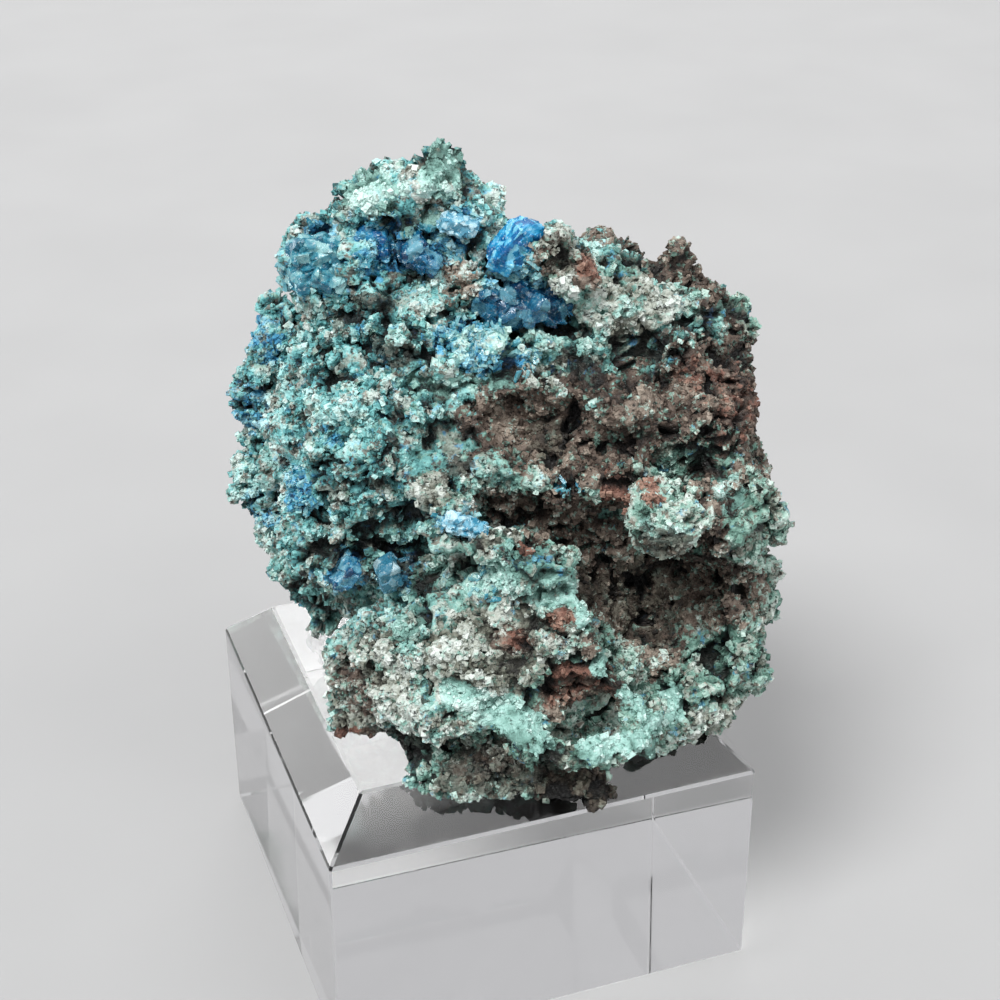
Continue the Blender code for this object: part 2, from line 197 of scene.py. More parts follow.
# Each zone of the skin, as rounded patches: centre (U, V, W), half-widths and strength.
ZONES = {
    "brown": (
        ((7, -9, 36.0), (8, 7, 4.5), 1.0),
        ((12, -10, 35), (9, 7, 5.4), 0.85),
        ((18, -8, 37.6), (7, 7, 4.4), 0.85),
        ((26, -6, 38.6), (6, 8, 5), 0.85),
        ((28.5, -6, 33), (4, 8, 6), 0.65),
        ((22, -5, 42.5), (4, 5, 2), 0.55),
        ((9, -12.5, 27), (8, 6, 5), 0.8),
        ((2, -12, 29), (4, 5, 3), 0.6),
        ((18.5, -9, 15), (8, 9, 8), 0.85),
        ((14, -13, 20), (5, 7, 6), 0.9),
        ((27, -10, 18), (6, 8, 7), 0.75),
        ((11.2, -24, 12.2), (4.6, 4.5, 3.6), 1.0),
        ((24, 14, 43), (6, 7, 6), 0.9),
        ((29, 2, 36), (5, 10, 8), 0.9),
        ((17, 13, 47), (5, 5, 4), 0.7),
        ((-3, 0.5, 57.2), (2.0, 3, 1.6), 0.55),
        ((8, -3.5, 53), (3, 4, 3), 0.5),
        ((12.5, -2.6, 51.4), (2.2, 4, 2.4), 0.8),
        ((-1, -2, 49.5), (3, 3, 3), 0.5),
        ((25, -14, 29), (3.4, 6, 5), 0.9),
        ((4.6, -23, 18), (2.6, 3, 1.6), 0.7),
        ((9.2, -22.8, 20), (2.4, 3, 1.6), 0.7),
        ((12.4, -24.4, 18), (2, 3, 1.8), 0.7),
        ((-9, -18, 22), (3, 4, 2), 0.45),
        ((19, -20, 26.5), (4, 4, 2), 0.5),
        ((-12.5, -19, 9), (4, 5, 4), 0.55),
        ((3, -27, 4), (8, 5, 2.4), 0.45),
        ((12, -29, 1.2), (5, 5, 3.4), 1.0),
    ),
    "red": (
        ((15.1, -14, 30.1), (1.8, 3.4, 2.4), 0.95),
        ((19.6, -16.5, 32.4), (2.6, 3, 1.2), 0.9),
        ((12.5, -2.6, 51.6), (1.6, 3, 1.6), 0.7),
        ((10.6, -24, 14.6), (2.4, 3, 1.2), 0.8),
        ((11.2, -24, 12), (4, 4, 2.6), 0.5),
        ((4.6, -23, 18), (1.6, 3, 1.0), 0.6),
        ((9.4, -23, 20.4), (2.0, 3, 1.2), 0.7),
        ((5.6, -20, 27.4), (0.9, 2, 0.7), 0.9),
        ((-12.4, -17, 2.0), (2.4, 4, 1.6), 0.85),
        ((28, -6, 37), (3.5, 7, 5), 0.45),
        ((24, -8, 40.4), (4, 5, 2.4), 0.45),
    ),
    # Dark rock, and painted shade under the ledges.
    "dark": (
        ((12, -29.5, 1.4), (5, 5, 3.2), 1.0),
        ((18.5, -7, 13.5), (6, 8, 6.5), 0.6),
        ((11.0, -14, 17.5), (2.2, 6, 4), 0.8),
        ((8.5, -8.5, 34.2), (3.0, 4, 2.0), 0.85),
        ((5, -10, 32), (5, 4, 1.2), 0.7),
        ((3, -26, 3.2), (9, 5, 2.6), 0.75),
        ((-6, -17, 3), (6, 6, 2.6), 0.8),
        ((13.5, -24, 10.5), (2.4, 4, 2), 0.8),
        ((-9, -11, 20), (3.4, 4, 2.4), 0.6),
        ((0, -12, 32.5), (3.5, 4, 2), 0.6),
        ((-8, -6.5, 43.4), (3.4, 3, 1.8), 0.7),
        ((-11, -5, 47.6), (4, 3, 1.2), 0.7),
        ((5.5, -0.5, 45), (4.5, 3, 1.8), 0.8),
        ((11, -7, 41.3), (3, 3, 0.9), 0.95),
        ((19.6, -21, 27.6), (4, 4, 2.8), 0.6),
    ),
    "blue": (
        ((-15, 2.5, 50), (5, 5, 4), 0.8),
        ((-9, 2, 51.5), (5, 5, 2.6), 0.8),
        ((-4, 1.4, 52.4), (4.5, 4, 2.4), 0.75),
        ((-1, 0.8, 55.4), (2.6, 3, 1.6), 0.7),
        ((-9, 1.5, 55), (3.5, 4, 1.6), 0.5),
        ((4.5, -1.2, 50), (3.6, 4, 4.5), 0.85),
        ((-25, 9, 37), (4, 6, 3), 0.5),
        ((-26, 9, 29), (3, 6, 4), 0.45),
        ((-25, 7, 17), (4, 6, 3), 0.45),
        ((-18.3, -8, 27.5), (2.4, 4, 2.2), 0.85),
        ((-14, -8, 35), (3, 4, 2), 0.45),
        ((-13.5, -11, 18.8), (2.6, 3, 2.6), 0.8),
        ((-8.5, -12, 20), (2.6, 4, 2.6), 0.6),
        ((-0.8, -17, 28.8), (3.4, 3, 1.6), 0.65),
        ((3, -6, 42.2), (5, 4, 1.4), 0.7),
        ((-1, -5, 44.6), (5, 4, 1.6), 0.5),
        ((10.5, -12, 31), (2.8, 3, 1.1), 0.8),
        ((2.5, -19, 22.5), (3, 3, 2.4), 0.4),
    ),
    "pale": (
        ((-10.5, 1.5, 58.4), (4.4, 4, 3.2), 0.7),
        ((-2.5, 1, 60.5), (3.6, 5, 4), 0.8),
        ((-0.2, -26.2, 13.0), (2.6, 3.4, 1.5), 0.95),
        ((3.5, -26.8, 11.2), (3.2, 3.4, 1.7), 0.95),
        ((6, -28.4, 10), (3.4, 3, 1.6), 0.95),
        ((8.5, -29.5, 9.4), (3.4, 3, 1.3), 0.95),
        ((15, -29, 8.8), (4.4, 3, 1.3), 0.95),
        ((19.6, -27, 8.4), (1.8, 3, 2.6), 0.95),
        ((14, -24.8, 16), (1.8, 3, 2.2), 0.8),
        ((17.6, -25, 12), (2.2, 3, 2.2), 0.85),
        ((3.0, -20, 23.6), (4.5, 4, 3), 0.7),
        ((7.5, -22, 23.4), (3.4, 3, 2.4), 0.65),
        ((11.5, -24, 21), (1.4, 3, 2.6), 0.7),
        ((19.6, -20.5, 29.6), (3.0, 3, 1.2), 0.5),
        ((26.6, -14, 30), (2.2, 4, 4), 0.5),
        ((21.6, -18.8, 6.2), (1.8, 3, 2.4), 0.85),
        ((-4, 1, 54.4), (4, 4, 2.2), 0.5),
        ((7, -6, 44), (8, 4, 2), 0.5),
        ((15.5, -2.7, 46.8), (4, 3, 1.6), 0.45),
        ((-3, -6, 40.2), (8, 4, 1.4), 0.5),
        ((-16, -13, 4.7), (1.2, 3, 1.0), 1.0),
        ((-2.4, -25.4, 13.6), (1.0, 3, 1.0), 1.0),
        ((-8, -17.5, 17.4), (4, 4, 1.2), 0.8),
    ),
    "cream": (
        ((-9, -21, 12.5), (5.5, 6, 4.5), 0.65),
        ((-12, -18, 7), (5.5, 7, 4.5), 0.7),
        ((-4.5, -25, 8), (4, 5, 3.6), 0.55),
        ((-3, 1.5, 59.5), (4, 4, 3.4), 0.85),
        ((-2.6, 1, 62), (3, 4, 2.5), 0.9),
        ((-4.6, -16.4, 32), (2.6, 3, 1.9), 1.2),
        ((1.5, -24, 16), (6.5, 5, 5), 1.0),
        ((17, -2, 46.5), (6, 5, 3.2), 0.75),
        ((10, -3.5, 53), (4, 4, 4), 0.8),
        ((8, -12, 27), (6, 5, 3), 0.5),
        ((3, -26, 4.5), (10, 5, 2), 0.5),
        ((3, -17, 29), (5, 5, 3), 0.6),
        ((5, -21, 22), (6, 4, 4), 0.55),
        ((24, -14, 24), (7, 6, 8), 0.5),
        ((26, -15, 2.5), (5, 5, 3), 0.8),
        ((9, -8, 41), (5, 4, 1.0), 0.6),
        ((8, -22, 19), (6, 4, 5), 0.5),
        ((-9, -6, 36), (7, 5, 2.5), 0.35),
    ),
}


# Noise

# The odd numbers and shifts of a common way to scramble whole numbers.
HASH_AXES = (73856093, 19349663, 83492791)
HASH_SEED = 2654435761
HASH_ROUNDS = ((13, 1274126177), (16, 2246822519))
HASH_LAST_SHIFT = 15
HASH_WORD = 0xFFFFFFFF
HASH_RANGE = 0xFFFFFF

# Layers of noise added up stay from about -1 to 1 when they are divided by this.
LAYERS_RANGE = 1.6
# A granule's surface falls to 0 at the square root of this share of a cell from its middle.
GRANULE_REACH = 0.45
# More than the squared distance, in cells, from any point to the nearest middle of a cell.
FAR = 9.0
CRACK_LAYERS = 4


def hashed(cells, seed):
    """A repeatable random number from 0 to 1 for each whole-number cell."""
    cells = cells.astype(np.int64)
    mixed = seed * HASH_SEED
    for axis, factor in enumerate(HASH_AXES):
        mixed = mixed ^ cells[..., axis] * factor
    for shift, factor in HASH_ROUNDS:
        mixed = (mixed ^ (mixed >> shift)) * factor & HASH_WORD
    return ((mixed ^ (mixed >> HASH_LAST_SHIFT)) & HASH_RANGE) / float(HASH_RANGE)


def hashed_places(cells, seed):
    """Three such numbers for each cell: a place within it."""
    return np.stack([hashed(cells, seed + k) for k in (1, 2, 3)], axis=1)


def eased(t):
    """Turns a straight rise from 0 to 1 into one that starts and ends gently."""
    return t * t * (3 - 2 * t)


def ramp(values, low, high):
    """0 below low, 1 above high, and a gentle rise between them."""
    return eased(np.clip((values - low) / (high - low), 0, 1))


def smooth_noise(points, size, seed):
    """Noise from -1 to 1 whose features have the given size."""
    scaled = points / size
    base = np.floor(scaled)
    t = eased(scaled - base)
    total = np.zeros(len(points))
    for corner in np.ndindex(2, 2, 2):
        weight = np.prod(np.where(corner, t, 1 - t), axis=1)
        total += weight * hashed(base + corner, seed)
    return total * 2 - 1


def layered_noise(points, size, seed, layers=3):
    """Noise with finer noise on it, each layer half as large and half as strong."""
    total = sum(smooth_noise(points, size / 2 ** i, seed + i) / 2 ** i for i in range(layers))
    return total / LAYERS_RANGE


def cells_around(scaled, seed):
    """The 27 cells at and round each point, with the random place of each cell's middle."""
    base = np.floor(scaled)
    for step in np.ndindex(3, 3, 3):
        cell = base + step - 1
        yield cell, hashed_places(cell, seed + 10)


def granules(points, size, seed):
    """1 at the middle of each rounded cell, 0 and less in the gaps between cells."""
    scaled = points / size
    nearest = np.full(len(points), FAR)
    for cell, middle in cells_around(scaled, seed):
        nearest = np.minimum(nearest, np.sum((scaled - (cell + middle)) ** 2, axis=1))
    return 1 - nearest / GRANULE_REACH


def chips(points, size, seed):
    """Slanted flat chips, one to a cell: their height from -1 to 1, and a tint for each."""
    scaled = points / size
    nearest = np.full(len(points), FAR)
    height, shade_and_tone = np.zeros(len(points)), np.zeros(len(points))
    for cell, middle in cells_around(scaled, seed):
        away = scaled - cell - middle
        distance = np.sum(away ** 2, axis=1)
        slant = hashed_places(cell, seed + 20) * 2 - 1
        closer = distance < nearest
        nearest = np.where(closer, distance, nearest)
        height = np.where(closer, np.sum(slant * away, axis=1) + 0.5 * slant[:, 0], height)
        shade_and_tone = np.where(closer, hashed(cell, seed + 31), shade_and_tone)
    return np.clip(height, -1, 1), shade_and_tone


def cracks(points, size, seed, edge):
    """1 along thin lines that wander over the stone, and 0 past their edge."""
    away = np.abs(layered_noise(points, size, seed, CRACK_LAYERS))
    return ramp(-away, *edge)


# Zones

# The zones, in the order in which they are stored for the material, three to an attribute.
WARM_ZONES = ("brown", "red", "dark")
COOL_ZONES = ("blue", "pale", "cream")

# The uneven edges of the zones: how strong, how large in millimetres, and the seed.
EDGE_LOBES = (0.34, 4.0, 5)
EDGE_NICKS = (0.22, 1.1, 9)
# A patch is at full strength to this share of its half-widths, and gone at the second.
PATCH_EDGE = (0.75, 1.25)

# Brown blotches on the two sides that the photograph doesn't show: where along U and V each side
# starts and is fully there, in millimetres.
BACK_SIDE = {"u": (-19, -14), "v": (4, 10)}
RIGHT_SIDE = {"u": (20, 26), "v": (-4, 1)}
BLOTCHES_MM = 11.0
BLOTCH_SEED = 31
BLOTCH_EDGE = (0.0, 0.25)
BLOTCH_STRENGTH = 0.8

# The crust turns from cyan to green to the right and downwards, in patches.
GREENER_RIGHT = 0.028
BLUER_UP = 0.02
MIDDLE_HEIGHT_MM = 30
GREEN_PATCHES = (0.6, 7.0, 15)


def zone_weights(stone_points):
    """Each zone's weight from 0 to 1 at each point, with ragged edges."""
    lobes, nicks = EDGE_LOBES, EDGE_NICKS
    ragged = lobes[0] * layered_noise(stone_points, *lobes[1:])
    ragged = ragged + nicks[0] * smooth_noise(stone_points, *nicks[1:])
    full, gone = PATCH_EDGE
    weights = {}
    for name, patches in ZONES.items():
        weight = np.zeros(len(stone_points))
        for centre, half_widths, strength in patches:
            distance = np.linalg.norm((stone_points - centre) / half_widths, axis=1)
            weight = np.maximum(weight, strength * ramp(-(distance + ragged), -gone, -full))
        weights[name] = weight
    back, right = (
        ramp(stone_points[:, 1], *side["v"]) * ramp(stone_points[:, 0], *side["u"])
        for side in (BACK_SIDE, RIGHT_SIDE)
    )
    blotches = ramp(layered_noise(stone_points, BLOTCHES_MM, BLOTCH_SEED), *BLOTCH_EDGE)
    unseen = BLOTCH_STRENGTH * np.maximum(back, right) * blotches
    weights["brown"] = np.maximum(weights["brown"], unseen)
    return weights


def greenness(stone_points):
    """How green the crust is at each point: 0 is cyan and 1 is green."""
    share, size, seed = GREEN_PATCHES
    u, w = stone_points[:, 0], stone_points[:, 2]
    even = 0.5 + GREENER_RIGHT * u - BLUER_UP * (w - MIDDLE_HEIGHT_MM)
    return np.clip(even + share * layered_noise(stone_points, size, seed), 0, 1)


# Meshes

def add_object(name, mesh):
    obj = bpy.data.objects.new(name, mesh)
    bpy.context.scene.collection.objects.link(obj)
    return obj


def vectors(items, name):
    """One named vector of each item, such as a vertex's place, as rows of an array."""
    flat = np.empty(len(items) * 3)
    items.foreach_get(name, flat)
    return flat.reshape(-1, 3)


def vertex_array(mesh):
    return vectors(mesh.vertices, "co")


def normal_array(mesh):
    return vectors(mesh.vertex_normals, "vector")


def keep_in_box(points):
    """Moves any point that is past the part's own box, or in the block, back inside it."""
    low = np.array(CAD_BOX[0]) + BOX_MARGIN_MM * MM
    high = np.array(CAD_BOX[1]) - BOX_MARGIN_MM * MM
    low[2] = BLOCK_TOP + BOX_MARGIN_MM * MM
    return np.clip(points, low, high)


def apply_modifiers(obj):
    graph = bpy.context.evaluated_depsgraph_get()
    mesh = bpy.data.meshes.new_from_object(obj.evaluated_get(graph))
    obj.modifiers.clear()
    obj.data = mesh


def add_attribute(mesh, name, values):
    """Stores a number, or a row of three, for each vertex."""
    kind, field = ("FLOAT_VECTOR", "vector") if values.ndim == 2 else ("FLOAT", "value")
    mesh.attributes.new(name, kind, "POINT").data.foreach_set(field, values.ravel())


def read_attribute(mesh, name):
    values = np.empty(len(mesh.vertices))
    mesh.attributes[name].data.foreach_get("value", values)
    return values


def paint_zones(mesh, stone_points, shade_and_tone):
    """Stores the zone weights and the painted shade, with some random tone, that the skin's material reads.
    """
    weights = zone_weights(stone_points)
    for name, zones in (("warm_zones", WARM_ZONES), ("cool_zones", COOL_ZONES)):
        add_attribute(mesh, name, np.stack([weights[zone] for zone in zones], axis=1))
    add_attribute(mesh, "shade_and_tone", shade_and_tone)
    add_attribute(mesh, "greenness", greenness(stone_points))


# The stone's skin

def build_skin():
    """The stone's fine skin, in place of its solid, with the zones stored on it."""
    skin = add_object("stone_skin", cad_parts["matrix_rock"].data.copy())
    skin.modifiers.new("finer", "REMESH").voxel_size = SKIN_VOXEL_MM * MM
    skin.modifiers.new("soften", "SMOOTH").iterations = SKIN_SOFTEN_STEPS
    apply_modifiers(skin)
    points = vertex_array(skin.data)
    place = to_stone(points)
    normals = normal_array(skin.data)
    weights = zone_weights(place)
    forms = skin_forms(place, weights)
    deepest = -DEEPEST_SHARE * thickness(points, normals)
    height = np.maximum(skin_height(forms, weights) + crystal_collar(points), deepest)
    moved = points + normals * (height * MM)[:, None]
    skin.data.vertices.foreach_set("co", keep_in_box(moved).ravel())
    # Painted shade: the skin's stored value is low in its hollows and gaps and high on its grain tops and
    # shelves.
    add_attribute(skin.data, "shade_and_tone", skin_shade_and_tone(forms))
    skin.modifiers.new("triangles", "TRIANGULATE")
    apply_modifiers(skin)
    skin.modifiers.new("thin", "DECIMATE").ratio = SKIN_TRIANGLES / len(skin.data.polygons)
    apply_modifiers(skin)
    shade_and_tone = read_attribute(skin.data, "shade_and_tone")
    skin.data.attributes.remove(skin.data.attributes["shade_and_tone"])
    paint_zones(skin.data, to_stone(vertex_array(skin.data)), shade_and_tone)
    skin.data.shade_smooth()
    return skin


def skin_forms(place, weights):
    """The skin's forms at each place: noise from about -1 to 1, and hollows from 0 to 1."""
    size, seed = RELIEF["bends"]
    bends = [layered_noise(place, size, seed + 7 * k) for k in range(3)]
    bent = place + BEND_MM * np.stack(bends, axis=1)
    lumps = layered_noise(place, *RELIEF["lumps"])
    up = math.cos(BED_TILT) * place[:, 2] - math.sin(BED_TILT) * place[:, 0] + BED_WAVE_MM * lumps
    beds = np.stack([place[:, 0] / BED_REACH_U, place[:, 1] / BED_REACH_V, up], axis=1)
    creases = cracks(bent, *RELIEF["creases"], CREASE_EDGE)
    creases = creases * ramp(layered_noise(place, *RELIEF["creased_areas"]), *CREASED_AREAS_EDGE)
    seams = cracks(beds, *RELIEF["seams"], SEAM_EDGE)
    seams = seams * ramp(layered_noise(place, *RELIEF["seamed_areas"]), *SEAMED_AREAS_EDGE)
    pits = ramp(layered_noise(bent, *RELIEF["pits"]), *PIT_EDGE)
    hollows = np.maximum(np.maximum(CREASE_DEPTH * creases, seams), pits)
    unfilled = 1 - PALE_FILLS_HOLLOWS * weights["pale"]
    unfilled = unfilled * (1 - CREAM_FILLS_HOLLOWS * weights["cream"])
    return {
        "large": granules(bent, *RELIEF["large"]),
        "small": granules(bent, *RELIEF["small"]),
        "crumbs": layered_noise(place, *RELIEF["crumbs"]),
        "lumps": lumps,
        "shelves": layered_noise(beds, *RELIEF["shelves"]),
        "patches": layered_noise(place, *RELIEF["patches"]),
        "hollows": hollows * unfilled,
    }


def added(forms, shares, total=0.0):
    """The total with each named form added to it, times its share."""
    for name, share in shares.items():
        total = total + share * forms[name]
    return total


def skin_height(forms, weights):
    """How far the skin stands out, in millimetres."""
    earthy = np.clip(weights["brown"] + weights["dark"], 0, 1)
    granular = added(forms, CRUST_GRANULES_MM) * (1 - PALE_SMOOTHNESS * weights["pale"])
    crust = added(forms, CRUST_RELIEF_MM, granular)
    earth = added(forms, EARTH_RELIEF_MM)
    return crust * (1 - earthy) + earth * earthy - SKIN_INSET_MM


def skin_shade_and_tone(forms):
    """Painted shade: how light the skin is, from 0 in its hollows to 1 on its grain tops and raised
    shelves, with patches of random tone.
    """
    capped = {name: np.clip(forms[name], -1, 1) for name in ("small", "large")}
    shade_and_tone = added({**forms, **capped}, GRAIN_TOP_SHADE, MIDDLE_SHADE)
    return np.clip(shade_and_tone + added(forms, RELIEF_SHADE_AND_TONE), 0, 1)


def thickness(points, normals):
    """How thick the stone is under each point, in millimetres, up to THICK_MM."""
    tree = BVHTree.FromObject(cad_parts["matrix_rock"], bpy.context.evaluated_depsgraph_get())
    starts = points - normals * (THICKNESS_START_MM * MM)
    thick = np.full(len(points), THICK_MM)
    for i, (start, normal) in enumerate(zip(starts.tolist(), normals.tolist())):
        reach = tree.ray_cast(Vector(start), -Vector(normal), THICK_MM * MM)[3]
        if reach is not None:
            thick[i] = reach / MM
    return thick


def crystal_collar(points):
    """The crust grows up to each crystal and closes the gap round it."""
    collar = np.zeros(len(points))
    for name in CRYSTAL_NODES:
        low, high = (np.array(corner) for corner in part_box(name))
        near = np.all((points > low - MM) & (points < high + MM), axis=1)
        tree = BVHTree.FromObject(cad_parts[name], bpy.context.evaluated_depsgraph_get())
        for i in np.flatnonzero(near):
            distance = tree.find_nearest(Vector(points[i]))[3] / MM
            collar[i] = max(collar[i], COLLAR_MM * (1 - distance / COLLAR_REACH_MM))
    return collar


# Grains

def shape_of(solid):
    """The corners and triangles of a small solid, which is then deleted."""
    solid.modifiers.new("triangles", "TRIANGULATE")
    apply_modifiers(solid)
    corners = vertex_array(solid.data)
    faces = np.array([tuple(face.vertices) for face in solid.data.polygons])
    bpy.data.objects.remove(solid, do_unlink=True)
    return corners, faces


def chunk_shape():
    """A blunt block, which scatter makes uneven."""
    bpy.ops.mesh.primitive_cube_add(size=CHUNK_SIDE)
    return shape_of(bpy.context.object)


def prism_shape():
    """A short crystal with slanted ends."""
    bpy.ops.mesh.primitive_cylinder_add(
        vertices=PRISM_SIDES, radius=PRISM_RADIUS, depth=PRISM_LENGTH
    )
    prism = bpy.context.object
    corners = vertex_array(prism.data)
    corners[:, 2] += PRISM_SLANT * corners[:, 0] * np.sign(corners[:, 2])
    prism.data.vertices.foreach_set("co", corners.ravel())
    return shape_of(prism)


def random_turns(count, rng):
    """Evenly spread rotation matrices."""
    q = rng.normal(size=(count, 4))
    a, b, c, d = (q / np.linalg.norm(q, axis=1)[:, None]).T
    rows = [
        [1 - 2 * (c * c + d * d), 2 * (b * c - a * d), 2 * (b * d + a * c)],
        [2 * (b * c + a * d), 1 - 2 * (b * b + d * d), 2 * (c * d - a * b)],
        [2 * (b * d - a * c), 2 * (c * d + a * b), 1 - 2 * (b * b + c * c)],
    ]
    return np.moveaxis(np.array(rows), 2, 0)


class Ground:
    """The skin's triangles, for grains to grow on."""

    def __init__(self, skin):
        triangles = np.empty(len(skin.data.polygons) * 3, dtype=np.int32)
        skin.data.polygons.foreach_get("vertices", triangles)
        triangles = triangles.reshape(-1, 3)
        self.corners = vertex_array(skin.data)[triangles]
        first, second, third = np.moveaxis(self.corners, 1, 0)
        across = np.cross(second - first, third - first)
        self.area = np.linalg.norm(across, axis=1)
        self.normals = across / np.maximum(self.area, SMALLEST_AREA)[:, None]
        self.place = to_stone(self.corners.mean(axis=1))
        self.weights = zone_weights(self.place)
        self.shade_and_tone = read_attribute(skin.data, "shade_and_tone")[triangles].mean(axis=1)
        self.raised = ramp(self.shade_and_tone, *RAISED_SHADES)

    def spots(self, count, wanted, rng):
        """Random spots, as many in each place as wanted says, with their normals and the skin's painted
        shade there.
        """
        share = self.area * self.raised * wanted
        chosen = rng.choice(len(share), size=count, p=share / share.sum())
        mix = rng.dirichlet((1, 1, 1), size=count)
        spots = np.einsum("ij,ijk->ik", mix, self.corners[chosen])
        return spots, self.normals[chosen], self.shade_and_tone[chosen]


def scatter(name, ground, shape, count, wanted, sizes_mm, seed, lighter, sink=GRAIN_SINK):
    """A joined mesh of grains of random size and turn, on the skin and partly sunk into it."""
    rng = np.random.default_rng(seed)
    corners, faces = shape
    spots, normals, ground_shades = ground.spots(count, wanted, rng)
    smallest, largest = sizes_mm
    sizes = smallest * (largest / smallest) ** (rng.random(count) ** SMALL_GRAINS_POWER) * MM
    widths = 1 + GRAIN_STRETCH * (rng.random((count, 1, 3)) * 2 - 1)
    jitter = 1 + GRAIN_JITTER * (rng.random((count, len(corners), 3)) * 2 - 1)
    grains = corners[None] * widths * jitter * sizes[:, None, None]
    grains = np.einsum("nij,nkj->nki", random_turns(count, rng), grains)
    centres = spots + normals * (sizes * (0.5 - sink))[:, None]
    points = keep_in_box((grains + centres[:, None]).reshape(-1, 3))
    mesh = bpy.data.meshes.new(name)
    all_faces = (faces[None] + np.arange(count)[:, None, None] * len(corners)).reshape(-1, 3)
    mesh.from_pydata(points.tolist(), [], all_faces.tolist())
    # A grain takes the skin's painted shade at its spot, made lighter, with a random tone of its own.
    grain_shades = np.clip(ground_shades + lighter + GRAIN_TINT_SPREAD * rng.normal(size=count), GRAIN_DARKEST, 1)
    places = to_stone(np.repeat(spots, len(corners), axis=0))
    paint_zones(mesh, places, np.repeat(grain_shades, len(corners)))
    return add_object(name, mesh)


# Where each kind of grain grows

# Crust grains stand in clumps: their size in millimetres, their seed, where the noise turns into a
# clump, and how densely grains stand between clumps.
CRUST_CLUMPS = (3.2, 95)
CLUMP_EDGE = (-0.2, 0.3)
BETWEEN_CLUMPS = 0.06
# How bare each zone is of crust grains. Up to the first share of them is missing in bare zones,
# and up to the second at the back, which begins and is fully there at these places along V.
BARE_ZONES = {"brown": 1.0, "dark": 0.8, "cream": 0.4, "pale": 1.0}
BARE_ZONES_LOSE = 0.85
BACK_LOSES = 0.5
CRUST_BACK_MM = (6, 12)
# The few earth and pale grains outside their own zones.
STRAY_EARTH = 0.02
STRAY_PALE = 0.12
# Shards end between these places along V, towards the back.
SHARDS_END_MM = (3, 7)


def on_crust(ground):
    bare = np.clip(added(ground.weights, BARE_ZONES), 0, 1)
    clumps = BETWEEN_CLUMPS + ramp(layered_noise(ground.place, *CRUST_CLUMPS), *CLUMP_EDGE)
    back = ramp(ground.place[:, 1], *CRUST_BACK_MM)
    return clumps * (1 - BARE_ZONES_LOSE * bare) * (1 - BACK_LOSES * back)


def on_brown(ground):
    weights = ground.weights
    return STRAY_EARTH + np.clip(weights["brown"] + weights["dark"] + weights["cream"], 0, 1)


def on_pale(ground):
    return STRAY_PALE + ground.weights["pale"]


def on_blue(ground):
    return ground.weights["blue"] ** 2 * (1 - ramp(ground.place[:, 1], *SHARDS_END_MM))


# Materials

class Nodes:
    """Short calls to build a material's nodes."""

    def __init__(self, name):
        self.material = bpy.data.materials.new(name)
        self.material.use_nodes = True
        self.tree = self.material.node_tree
        self.shader = self.tree.nodes["Principled BSDF"]
        self.coords = self.tree.nodes.new("ShaderNodeTexCoord").outputs["Object"]

    def link(self, source, target):
        self.tree.links.new(source, target)

    def noise(self, size_mm, detail=3.0, roughness=0.55):
        node = self.tree.nodes.new("ShaderNodeTexNoise")
        node.inputs["Scale"].default_value = 1 / (size_mm * MM)
        node.inputs["Detail"].default_value = detail
        node.inputs["Roughness"].default_value = roughness
        self.link(self.coords, node.inputs["Vector"])
        return node.outputs["Fac"]

    def cells(self, size_mm):
        node = self.tree.nodes.new("ShaderNodeTexVoronoi")
        node.inputs["Scale"].default_value = 1 / (size_mm * MM)
        self.link(self.coords, node.inputs["Vector"])
        return node.outputs["Distance"]

    def ramp(self, value, *stops):
        node = self.tree.nodes.new("ShaderNodeValToRGB")
        elements = node.color_ramp.elements
        while len(elements) < len(stops):
            elements.new(0.5)
        for element, (position, colour) in zip(elements, stops):
            element.position = position
            element.color = (*colour, 1.0)
        self.link(value, node.inputs["Fac"])
        return node.outputs["Color"]

    def math(self, operation, first, second):
        node = self.tree.nodes.new("ShaderNodeMath")
        node.operation = operation
        for socket, value in zip(node.inputs, (first, second)):
            if isinstance(value, (int, float)):
                socket.default_value = value
            else:
                self.link(value, socket)
        return node.outputs["Value"]

    def mix(self, share, first, second, blend="MIX"):
        node = self.tree.nodes.new("ShaderNodeMix")
        node.data_type = "RGBA"
        node.blend_type = blend
        for name, value in (("Factor_Float", share), ("A_Color", first), ("B_Color", second)):
            socket = next(s for s in node.inputs if s.identifier == name)
            if isinstance(value, (int, float)):
                socket.default_value = value
            elif isinstance(value, tuple):
                socket.default_value = (*value, 1.0)
            else:
                self.link(value, socket)
        return next(s for s in node.outputs if s.identifier == "Result_Color")

    def attribute(self, name):
        node = self.tree.nodes.new("ShaderNodeAttribute")
        node.attribute_name = name
        return node

    def split(self, vector):
        node = self.tree.nodes.new("ShaderNodeSeparateXYZ")
        self.link(vector, node.inputs[0])
        return node.outputs

    def bump(self, height, distance_mm, strength=1.0):
        node = self.tree.nodes.new("ShaderNodeBump")
        node.inputs["Distance"].default_value = distance_mm * MM
        node.inputs["Strength"].default_value = strength
        self.link(height, node.inputs["Height"])
        self.link(node.outputs["Normal"], self.shader.inputs["Normal"])


def linear(red, green, blue):
    """A colour given as 0 to 255 screen values."""
    channels = (c / 255 for c in (red, green, blue))
    return tuple(c / 12.92 if c <= 0.04045 else ((c + 0.055) / 1.055) ** 2.4 for c in channels)


def grey(value):
    return (value, value, value)


CRYSTAL_IOR = 1.53
ACRYLIC_IOR = 1.49

